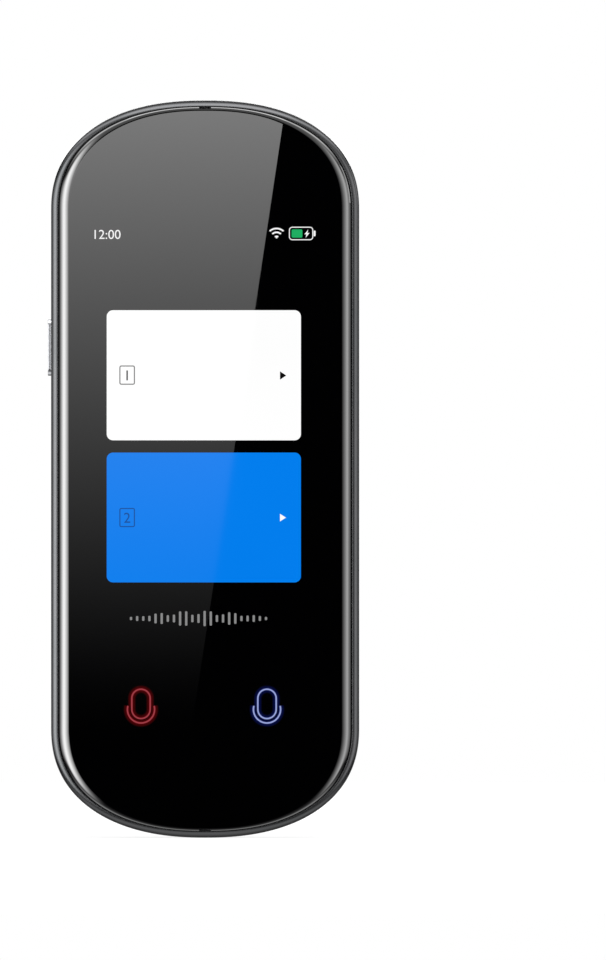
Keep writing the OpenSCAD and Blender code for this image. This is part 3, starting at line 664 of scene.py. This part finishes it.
def rimSection():
    radius, top, width = rim["edgeRadius"], rim["crestLevel"], rim["width"]
    flank, shelf = rim["flankLevel"], rim["tongue"][-1][1]
    crest, narrower = width - radius, width - rim["endWidth"]
    outer, inner = (math.radians(slope) for slope in rim["endSlopes"])
    bend = (outer - inner) / (crest - narrower)

    def endInset(level):
        # the slope turns evenly from the outer edge to the crest
        turn = math.acos(min(1, math.cos(inner) * math.exp(-bend * (top - level))))
        return max(0, (outer - turn) / bend)

    section = [(a, b, a - narrower) for a, b in arc(crest, top - radius, radius, radius, 0, 90, 6)]
    slope = arc(crest, flank, crest, top - flank, 90, 180, 26)[1:]
    slope += [(0.0, flank - 0.1 * i) for i in range(1, 7)]
    section += [(a, b, endInset(b)) for a, b in slope]
    section += rim["foot"] + rim["tongue"]
    return section + [(width, shelf, rim["endWidth"])] + section[:1]


def makeRim():
    cutters = slitPieces(rim["cutLevels"], micSlit["height"]) + [keyPocket(*rim["keyPocket"])]
    sweepShell("frontFrame", rimSection(), cutters, "frame_metal", "front_frame", 40)


# black acoustic cloth behind each microphone slit
def makeSlitCloths():
    for cloth in slitPieces(micSlit["clothLevels"], micSlit["height"], micSlit["clothMargin"],
                            micSlit["clothRadius"]):
        dress(cloth, "mesh_black")


coverGlass = {
    "inset": 1.4, "endInset": 1.24, "seatBevel": (0.06, 0.05), "sideCurve": 2.0, "endCurve": 0.75,
    "endPower": 2.5,        # the end curve is tighter at the edge and nearly flat after it
    "curveSteps": 40, "strip": 0.03, "edgeLevel": 11.15, "seatLevel": 10.9,
    "topLevel": 11.96,      # leaves the picture's layers room below the full depth
    "cutLevels": (10, 12.5),
}


def makeGlass():
    inset, endInset, seat = coverGlass["inset"], coverGlass["endInset"], coverGlass["seatLevel"]
    side, end, edge, top = (coverGlass[k] for k in ("sideCurve", "endCurve", "edgeLevel", "topLevel"))
    bevel, strip, steps = coverGlass["seatBevel"], coverGlass["strip"], coverGlass["curveSteps"]
    section = [(inset + bevel[0], seat, endInset + bevel[0]), (inset, seat + bevel[1], endInset)]
    for i in range(steps + 1):
        angle = math.radians(90 * i / steps)
        fall = 1 - math.cos(angle)
        endFall = endInset + end * fall ** coverGlass["endPower"]
        section.append((inset + side * fall, edge + (top - edge) * math.sin(angle), endFall))
    section.append((inset + side + strip, top, endInset + end + strip))
    cutters = slitPieces(coverGlass["cutLevels"], micSlit["notch"])
    sweepShell("coverGlass", section, cutters, "cover_glass", "cover_glass", 40)


# The side key: a crowned bar with round ends on a flange behind the wall
def makeKey():
    face, crown = -body["halfWidth"] - key["proud"], key["crown"]
    places = arc(face + crown, crown, -crown, -crown, 0, 90, key["crownSteps"])
    flange = -body["halfWidth"] + key["flangeDepth"]
    places += [(face + crown + key["strip"], 0), (flange, 0)]
    rings = slotRings(roundKey, places, key["size"])
    wide = [(flange, 0), (flange + key["flangeThickness"], 0)]
    rings += slotRings(roundKey, wide, key["flange"], key["flangeRadius"])
    dress(loft("powerKey", rings), "key_chrome", "power_key", 40, "power_key")


# The camera: a polished bezel, a clear window with a black printed ring, a coated lens, and a barrel whose
# steps trap stray light
trap = {
    "outer": 2.9, "lip": [(2.72, 1.1), (2.68, 1.14), (2.35, 1.14)], "mouth": (2.3, 1.2), "steps": 5,
    "tread": 0.12, "rise": 0.1, "slant": 0.01, "bore": 1.7, "back": 3.6,
}


def cameraPart(name, profile, slotName, node=None, smooth=None, steps=96):
    dress(turned(name, profile, steps, camera["place"]), slotName, node, smooth)


def makeCameraParts():
    outer, window = camera["bezelDiameter"] / 2, camera["windowDiameter"] / 2
    level, gap, under = camera["windowLevel"], camera["windowGap"], camera["windowBack"]
    edge, slope, bore, back = (camera["bezel" + part] for part in ("Edge", "Slope", "Bore", "Back"))
    profile = [(outer, back)] + arc(outer - edge, edge, edge, -edge, 0, 90, 6)
    profile += arc(window + slope[0], slope[2], -slope[1], -slope[2], 90, 30, 3)
    profile += [(window + gap, level), (window, level + camera["windowLip"]), (window, under)]
    profile += [(bore, under), (bore, back), (outer, back)]
    cameraPart("cameraBezel", profile, "bezel_black", "camera_bezel", 30, 128)

    edge, chamfer = window - gap, camera["windowChamfer"]
    profile = [(0, level), (edge - chamfer, level), (edge, level + chamfer), (edge, under), (0, under)]
    cameraPart("cameraWindow", profile, "camera_glass", "camera_window", 30)

    inner, outer = camera["printRadii"]
    front = under + camera["printGap"]
    back = front + camera["printThickness"]
    profile = [(inner, front), (outer, front), (outer, back), (inner, back), (inner, front)]
    cameraPart("windowPrint", profile, "bezel_black")

    front = (trap["outer"], trap["lip"][0][1])
    profile = [front] + trap["lip"] + [trap["mouth"]]
    for i in range(trap["steps"]):
        radius, depth = trap["mouth"][0] - trap["tread"] * i, trap["mouth"][1] + trap["rise"] * i
        under = depth + trap["rise"]
        profile += [(radius, under - trap["slant"]), (radius - trap["tread"], under)]
    bore, back = trap["bore"], trap["back"]
    profile += [(bore, camera["lensLevel"]), (bore, back), (trap["outer"], back), front]
    cameraPart("lensBarrel", profile, "barrel_black", "lens_barrel")

    radius, rise, back = camera["lensRadius"], camera["lensRise"], camera["lensBack"]
    dome = arc(0, camera["lensLevel"] + rise, radius, -rise, 90, 0, 12)
    cameraPart("frontLens", dome + [(radius, back), (0, back)], "lens_glass", "front_lens", 40)


# The port's tongue carries its contacts on both faces
contact = {
    "count": 12, "pitch": 0.5, "width": 0.25, "length": 4.0, "thickness": 0.04, "bevel": 0.015,
    "fromMouth": 1.0,
}
tongue = {
    "size": (6.69, 0.7), "fromMouth": 0.65, "chamfer": 0.12, "collar": 1.6,
}


def makePortTongue():
    mouth, wall = port["mouth"], port["wall"]
    back = mouth + port["depth"] - wall
    front, chamfer, collar = mouth + tongue["fromMouth"], tongue["chamfer"], back - tongue["collar"]
    rings = slotRings(roundPort, [(back, wall), (collar, wall)], port["size"])
    blade = [(collar, 0), (front + chamfer, 0), (front, chamfer)]
    rings += slotRings(roundPort, blade, tongue["size"], chamfer)
    dress(loft("portTongue", rings), "port_plastic", "port_tongue", 40)

    edit = bmesh.new()
    size = (contact["width"], contact["thickness"], contact["length"], 1)
    for side in (1, -1):
        for k in range(contact["count"]):
            x = (k - (contact["count"] - 1) / 2) * contact["pitch"]
            level = port["level"] + side * (tongue["size"][1] / 2 + contact["thickness"] / 2)
            z = mouth + contact["fromMouth"] + contact["length"] / 2
            box = bmesh.ops.create_cube(edit, size=1)["verts"]
            place = Matrix.Scale(mm, 4) @ Matrix.Translation((x, -level, z)) @ Matrix.Diagonal(size)
            bmesh.ops.transform(edit, matrix=place, verts=box)
    bmesh.ops.bevel(edit, geom=edit.edges, offset=contact["bevel"] * mm, segments=1, affect="EDGES")
    dress(meshPiece("portContacts", edit), "mic_gold")


# The picture on the screen. Places are pixels of the photograph, which one scale turns to millimetres.
screen = {
    "centerPx": (205.1, 469.0), "mmPerPx": 0.18293,
    "lift": 0.012,          # between two layers of the picture
    "cardRadius": 1.15, "figureHeight": 1.95, "clockHeight": 1.75,
    "figureShare": 0.73,    # height of a figure over the text's size
}


def fromPx(x, y):
    return (x - screen["centerPx"][0]) * screen["mmPerPx"], (screen["centerPx"][1] - y) * screen["mmPerPx"]


def onGlass(u, v, layer):
    return Vector((u, -(coverGlass["topLevel"] + screen["lift"] * layer), v)) * mm


def flatPiece(name, loops, material, layer=1, fades=None):
    # each loop is one face; fades gives a value for each of its points
    edit = bmesh.new()
    fadeLayer = edit.verts.layers.float.new("fade") if fades else None
    for k, points in enumerate(loops):
        verts = [edit.verts.new(onGlass(u, v, layer)) for u, v in points]
        if fades:
            for vert, value in zip(verts, fades[k]):
                vert[fadeLayer] = value
        made = edit.faces.new(verts)
        made.normal_update()
        if made.normal.y > 0:
            made.normal_flip()
    bmesh.ops.remove_doubles(edit, verts=edit.verts, dist=welds["print"] * mm)
    dress(meshPiece(name, edit, False), "lcd_glass", material=material)


def boxPx(x0, y0, x1, y1, radius):
    # two corners in pixels, and the radius in millimetres
    left, top = fromPx(x0, y0)
    right, bottom = fromPx(x1, y1)
    corners = stadium(right - left, top - bottom, radius, 8)
    return [((left + right) / 2 + u, (top + bottom) / 2 + v) for u, v in corners]


def stroke(points, width, closed=False, shares=(-0.5, 0.5)):
    # quads of a line that follows points; shares are the places across its width
    count = len(points)
    lines = []
    for i, (x, y) in enumerate(points):
        before = points[(i - 1) % count] if closed or i else points[i]
        after = points[(i + 1) % count] if closed or i < count - 1 else points[i]
        along = Vector((after[0] - before[0], after[1] - before[1])).normalized()
        lines.append([(x - along.y * width * s, y + along.x * width * s) for s in shares])
    pairs = list(zip(lines, lines[1:])) + ([(lines[-1], lines[0])] if closed else [])
    return [[a[k], a[k + 1], b[k + 1], b[k]] for a, b in pairs for k in range(len(shares) - 1)]


def numberPiece(name, text, place, height, material, layer=2, align="CENTER"):
    curve = bpy.data.curves.new(name, "FONT")
    curve.body = text
    curve.align_x = align
    curve.size = height * mm / screen["figureShare"]
    curve.resolution_u = 8
    piece = bakePiece(linkPiece(name, curve))
    upright = Matrix.Rotation(math.radians(90), 4, "X")
    piece.data.transform(Matrix.Translation(onGlass(*place, layer)) @ upright)
    dress(piece, "lcd_glass", material=material)


levels = {
    "count": 23, "leftPx": 131, "rightPx": 266, "middlePx": 618.5, "widthPx": 2.3, "leastPx": 1.6,
    "mostPx": 6.4, "radius": 0.15,
    "beat": (2.35, 0.4),        # turn from bar to bar, and at the first bar
}


def soundLevels():
    # bars that swell and fall as a level meter's do
    bars = []
    half, middle, radius = levels["widthPx"] / 2, levels["middlePx"], levels["radius"]
    for i in range(levels["count"]):
        share = i / (levels["count"] - 1)
        x = levels["leftPx"] + (levels["rightPx"] - levels["leftPx"]) * share
        beat = abs(math.cos(levels["beat"][0] * i + levels["beat"][1]))
        rise = levels["leastPx"] + levels["mostPx"] * math.sin(math.pi * share) * beat
        bars.append(boxPx(x - half, middle - rise, x + half, middle + rise, radius))
    return bars


mic = {
    "halfWidthPx": 9.2, "topPx": 689.2, "bottomPx": 718.6, "radius": 1.68,
    "cradlePx": (709.4, 13.6),      # height of its centre and radius
    "cradleTurn": (165, 375), "line": 0.27, "halo": 1.5, "haloLevels": (0, 0.45, 1, 0.45, 0),
}


def makeMicPicture(name, x, lineColor, haloColor):
    line = newMaterial(name + "Line", litPixels, lineColor)
    glow = newMaterial(name + "Glow", litPixels, haloColor, True)
    half, width = mic["halfWidthPx"], mic["line"]
    capsule = boxPx(x - half, mic["topPx"], x + half, mic["bottomPx"], mic["radius"])
    cx, cy = fromPx(x, mic["cradlePx"][0])
    radius = mic["cradlePx"][1] * screen["mmPerPx"]
    cradle = arc(cx, cy, radius, radius, *mic["cradleTurn"], 24)
    flatPiece(name + "Mic", stroke(capsule, width, True) + stroke(cradle, width), line, 3)
    shares = (-0.5, -0.25, 0, 0.25, 0.5)
    values = [[mic["haloLevels"][k + step] for step in (0, 1, 1, 0)] for k in range(4)]
    for part, points, closed, layer in (("Capsule", capsule, True, 1), ("Cradle", cradle, False, 2)):
        quads = stroke(points, mic["halo"], closed, shares)
        fades = [values[i % 4] for i in range(len(quads))]
        flatPiece(name + part + "Glow", quads, glow, layer, fades)


litColors = {
    "litWhite": "#ffffff", "litBlue": "#007eee", "litDeepBlue": "#0d4f9c", "litGrey": "#8a8a8a",
    "litStatusLine": "#f2f2f2", "litGreen": "#1fae62", "unlitFigure": "#0a0a0a", "litHairline": "#6e6e6e",
}


def makeScreen():
    lit = [newMaterial(name, litPixels, code) for name, code in litColors.items()]
    white, blue, deepBlue, soft, status, green, dark, hairline = lit
    radius, height = screen["cardRadius"], screen["figureHeight"]
    flatPiece("upperCard", [boxPx(106.7, 310.2, 300.9, 440.3, radius)], white)
    flatPiece("lowerCard", [boxPx(106.7, 452.6, 300.9, 582.4, radius)], blue)
    flatPiece("upperBox", stroke(boxPx(119.9, 366.0, 134.4, 384.2, 0.25), 0.2, True), hairline, 2)
    flatPiece("lowerBox", stroke(boxPx(119.9, 508.5, 134.4, 526.6, 0.25), 0.2, True), deepBlue, 2)
    numberPiece("upperNumber", "1", fromPx(127.1, 380.4), height, dark)
    numberPiece("lowerNumber", "2", fromPx(127.1, 522.8), height, deepBlue)
    flatPiece("upperArrow", [[fromPx(280, 371.3), fromPx(280, 379.7), fromPx(286.3, 375.5)]], dark, 2)
    flatPiece("lowerArrow", [[fromPx(280, 513.8), fromPx(280, 521.4), fromPx(285.9, 517.6)]], white, 2)

    numberPiece("clock", "12:00", fromPx(91.9, 238.9), screen["clockHeight"], status, 1, "LEFT")
    cx, cy = fromPx(276.6, 238.6)
    arcs = [[(cx, cy)] + arc(cx, cy, 0.55, 0.55, 45, 135, 8)]
    for radius in (1.15, 1.85):
        arcs += stroke(arc(cx, cy, radius, radius, 47, 133, 24), 0.3)
    flatPiece("signalArcs", arcs, status)
    case = stroke(boxPx(289.4, 227.2, 312.8, 239.7, 0.55), 0.17, True)
    flatPiece("batteryCase", case + [boxPx(313.6, 230.6, 315.6, 236.2, 0.15)], status)
    flatPiece("batteryLevel", [boxPx(291.6, 229.4, 302.4, 237.6, 0.25)], green)
    bolt = [(308.2, 229.6), (304.3, 234.3), (306.4, 234.3), (305.6, 237.9), (309.6, 232.9), (307.4, 232.9)]
    flatPiece("batteryBolt", [[fromPx(*p) for p in bolt]], status)

    flatPiece("soundLevels", soundLevels(), soft)
    makeMicPicture("red", 141.0, "#a03c44", "#5c0006")
    makeMicPicture("blue", 267.0, "#97a3dc", "#081456")


def dressNodes():
    for entry in frame["record"]["subparts"]:
        node = frame["nodes"][entry["node"]]
        node.data.materials.clear()
        node.data.materials.append(finishes[entry["material_slot"]])


# Studio: the camera stands straight in front, moved sideways without turning, so the body lands where it
# should. Lengths are in metres.
studio = {
    "distance": 2.5, "framePx": (606, 960), "sensor": 36, "floorRadius": 0.45, "floorGap": 0.00002,
    "floorGlow": 0.82, "floorColor": 0.3, "plainLevel": 0.45,
}


def makeCamera():
    data = bpy.data.cameras.new("camera")
    view = linkPiece("camera", data)
    width, height = studio["framePx"]
    data.sensor_width = studio["sensor"]
    data.lens = studio["sensor"] * studio["distance"] / (height * screen["mmPerPx"] * mm)
    across, up = fromPx(width / 2, height / 2)
    view.location = (across * mm, -body["depth"] * mm - studio["distance"], up * mm)
    view.rotation_euler = (math.radians(90), 0, 0)
    scene.camera = view


# Radiance of the room, by the angle from the camera's side in degrees: dark behind the camera, a tall soft
# window on its left, a weaker one on its right, a softbox overhead and a pale backdrop behind the object
room = {
    "peak": 11.5,
    "across": [
        (-180, 0.7), (-130, 1.2), (-100, 0.8), (-74, 1.3), (-56, 2.8), (-44, 5.9), (-35, 9.3), (-28, 11.3),
        (-22, 9.8), (-16, 7.1), (-11, 4.7), (-7, 2.9), (-3.5, 0), (5, 0), (11, 0.7), (21, 2.3), (34, 4.6),
        (42, 3.1), (54, 1.9), (70, 1.1), (100, 0.6), (130, 1.2), (180, 0.7)],
    "upward": [
        (-180, 0.3), (-130, 0.3), (-117, 0.4), (-100, 1.3), (-83, 2), (-65, 2.1), (-48, 0.7), (-30, 0.2),
        (-8, 0), (6, 0), (12, 0.7), (35, 1), (48, 2), (60, 5), (70, 6.5), (83, 4.8), (100, 1.3), (117, 0.5),
        (140, 0.6), (180, 1.2)],
    "turn": (0.1, 0.7),     # from across to upward: squared sine of the angle above or below eye level
    "lowAngles": (38, 47),      # past these the windows are low, with their height as a squared sine
    "lowHeight": (0.02, 0.12), "lowLeast": 0.08,
}


def makeWorld():
    world = bpy.data.worlds.new("studio")
    scene.world = world
    world.use_nodes = True
    add = emptied(world.node_tree)
    # through a window, rays that were mirrored show the room, and straight views show the backdrop
    path = add("LightPath").outputs
    behind = path["Is Transmission Ray"]
    mirrored = add("Math.MINIMUM", (path["Glossy Depth"], 1.0))
    through = add("Math.MULTIPLY", (behind, mirrored))
    clear = add("Math.SUBTRACT", (behind, through))
    seen = add("Math.MAXIMUM", (path["Is Camera Ray"], clear))
    mirror = add("Math.MAXIMUM", (path["Is Glossy Ray"], through))
    direction = add("SeparateXYZ", {0: add("TexCoord")}).outputs
    forward = add("Math.MULTIPLY", (direction[1], -1.0))
    away = add("Math.ARCCOSINE", {0: forward})
    walls = []
    for axis, places in ((0, room["across"]), (2, room["upward"])):
        sign = add("Math.SIGN", {0: direction[axis]})
        angle = add("Math.MULTIPLY", (away, sign))
        share = add("Math.MULTIPLY_ADD", (angle, 0.5 / math.pi, 0.5))
        stops = add("ValToRGB", {0: share})
        fillStops(stops.color_ramp.elements, [
            (degrees / 360 + 0.5, grey(level / room["peak"])) for degrees, level in places])
        walls.append(add("Math.MULTIPLY", (stops, room["peak"])))
    squares = [add("Math.POWER", (direction[axis], 2.0)) for axis in (1, 2)]
    aside = add("Math.SUBTRACT", (1.0, squares[0]))
    upright = add("Math.DIVIDE", (squares[1], aside))
    turning = add("MapRange", (upright, *room["turn"]), interpolation_type="SMOOTHSTEP")
    height = add("MapRange", (squares[1], *room["lowHeight"], 1.0, room["lowLeast"]),
                 interpolation_type="SMOOTHSTEP")
    far = add("MapRange", (away, *(math.radians(angle) for angle in room["lowAngles"])))
    low = add("Mix", {0: far, 2: 1.0, 3: height})
    windows = add("Math.MULTIPLY", (walls[0], low))
    around = add("Mix", {0: turning, 2: windows, 3: walls[1]})
    glossy = add("Mix", {0: mirror, 2: studio["plainLevel"], 3: around})
    shown = add("Mix", {0: seen, 2: glossy, 3: 1.0})
    add("OutputWorld", {0: add("Background", {0: grey(1.0), 1: shown})})


def floorFinish(add, _):
    path = add("LightPath").outputs
    seen = add("Math.MAXIMUM", (path["Is Camera Ray"], path["Is Transmission Ray"]))
    strength = add("Math.MULTIPLY", (seen, studio["floorGlow"]))
    glow = add("Emission", {0: grey(1.0), 1: strength})
    matte = add("BsdfDiffuse", {0: grey(studio["floorColor"])})
    lit = add("AddShader", {0: matte, 1: glow})
    # mirrored rays pass the floor, so that polished pieces see the room without an edge in it
    return add("MixShader", {0: path["Is Glossy Ray"], 1: lit, 2: add("BsdfTransparent")})


def makeFloor():
    edit = bmesh.new()
    down = Matrix.Translation((0, 0, -body["halfHeight"] * mm - studio["floorGap"]))
    bmesh.ops.create_circle(edit, cap_ends=True, segments=96, radius=studio["floorRadius"], matrix=down)
    floor = meshPiece("floor", edit)
    floor.data.materials.append(newMaterial("paleFloor", floorFinish))


# A long card behind the camera's shoulder: the glass mirrors it as a pale field with one straight edge
card = {
    "distance": 1.2, "edgePx": [(283, 122), (234, 450), (199, 680), (189, 745)], "topPx": (290, 50),
    "leftAngle": 4.5, "fadePx": (105, 745), "fallPower": 2.1, "radiance": 2.4,
}


def cardFinish(add, point, low, high):
    place = add("SeparateXYZ", {0: point})
    share = add("MapRange", {0: place.outputs[2], 1: low, 2: high})
    fall = add("Math.POWER", (share, card["fallPower"]))
    strength = add("Math.MULTIPLY", (fall, card["radiance"]))
    return add("Emission", {0: grey(1.0), 1: strength})


def makeCard():
    eye = scene.camera.location
    grow = card["distance"] / studio["distance"]

    def thrown(x, y):
        # where a ray from the camera to this pixel of the glass lands after the mirror
        u, v = fromPx(x, y)
        return u * mm + (u * mm - eye.x) * grow, v * mm + (v * mm - eye.z) * grow

    left = -body["halfWidth"] * mm - card["distance"] * math.tan(math.radians(card["leftAngle"]))
    edge = [thrown(x, y) for x, y in card["edgePx"]]
    top = thrown(*card["topPx"])
    points = [top] + edge + [(left, edge[-1][1]), (left, top[1])]
    edit = bmesh.new()
    depth = -body["depth"] * mm - card["distance"]
    edit.faces.new([edit.verts.new((x, depth, z)) for x, z in points])
    piece = meshPiece("reflectionCard", edit)
    high, low = (thrown(0, y)[1] for y in card["fadePx"])
    piece.data.materials.append(newMaterial("softCard", cardFinish, low, high))
    piece.visible_camera = False
    piece.visible_diffuse = False
    piece.visible_shadow = False


# Lamps: place, size and power in watts, all aimed at the object's middle
lamps = {
    "topSoftbox": ((0, -0.15, 0.8), (0.6, 0.6), 3.5),
    "rearSoftbox": ((-0.03, 0.34, 0.17), (0.36, 0.16), 0.63),
    "rightFill": ((0.9, -0.3, 0.3), (0.4, 0.4), 1.5),
}


def makeLamps():
    for name, (place, size, watts) in lamps.items():
        data = bpy.data.lights.new(name, "AREA")
        data.shape = "RECTANGLE"
        data.size, data.size_y = size
        data.energy = watts
        lamp = linkPiece(name, data)
        lamp.location = place
        lamp.visible_camera = False
        lamp.rotation_euler = (-Vector(place)).to_track_quat("-Z", "Y").to_euler()


for stage in (makeHousing, makeRim, makeSlitCloths, makeGlass, makeKey, makeCameraParts, makePortTongue,
              makeScreen, dressNodes, makeCamera, makeWorld, makeFloor, makeCard, makeLamps):
    stage()
    print("done:", stage.__name__)
bpy.data.objects.remove(outline)
scene.view_settings.view_transform = "Standard"
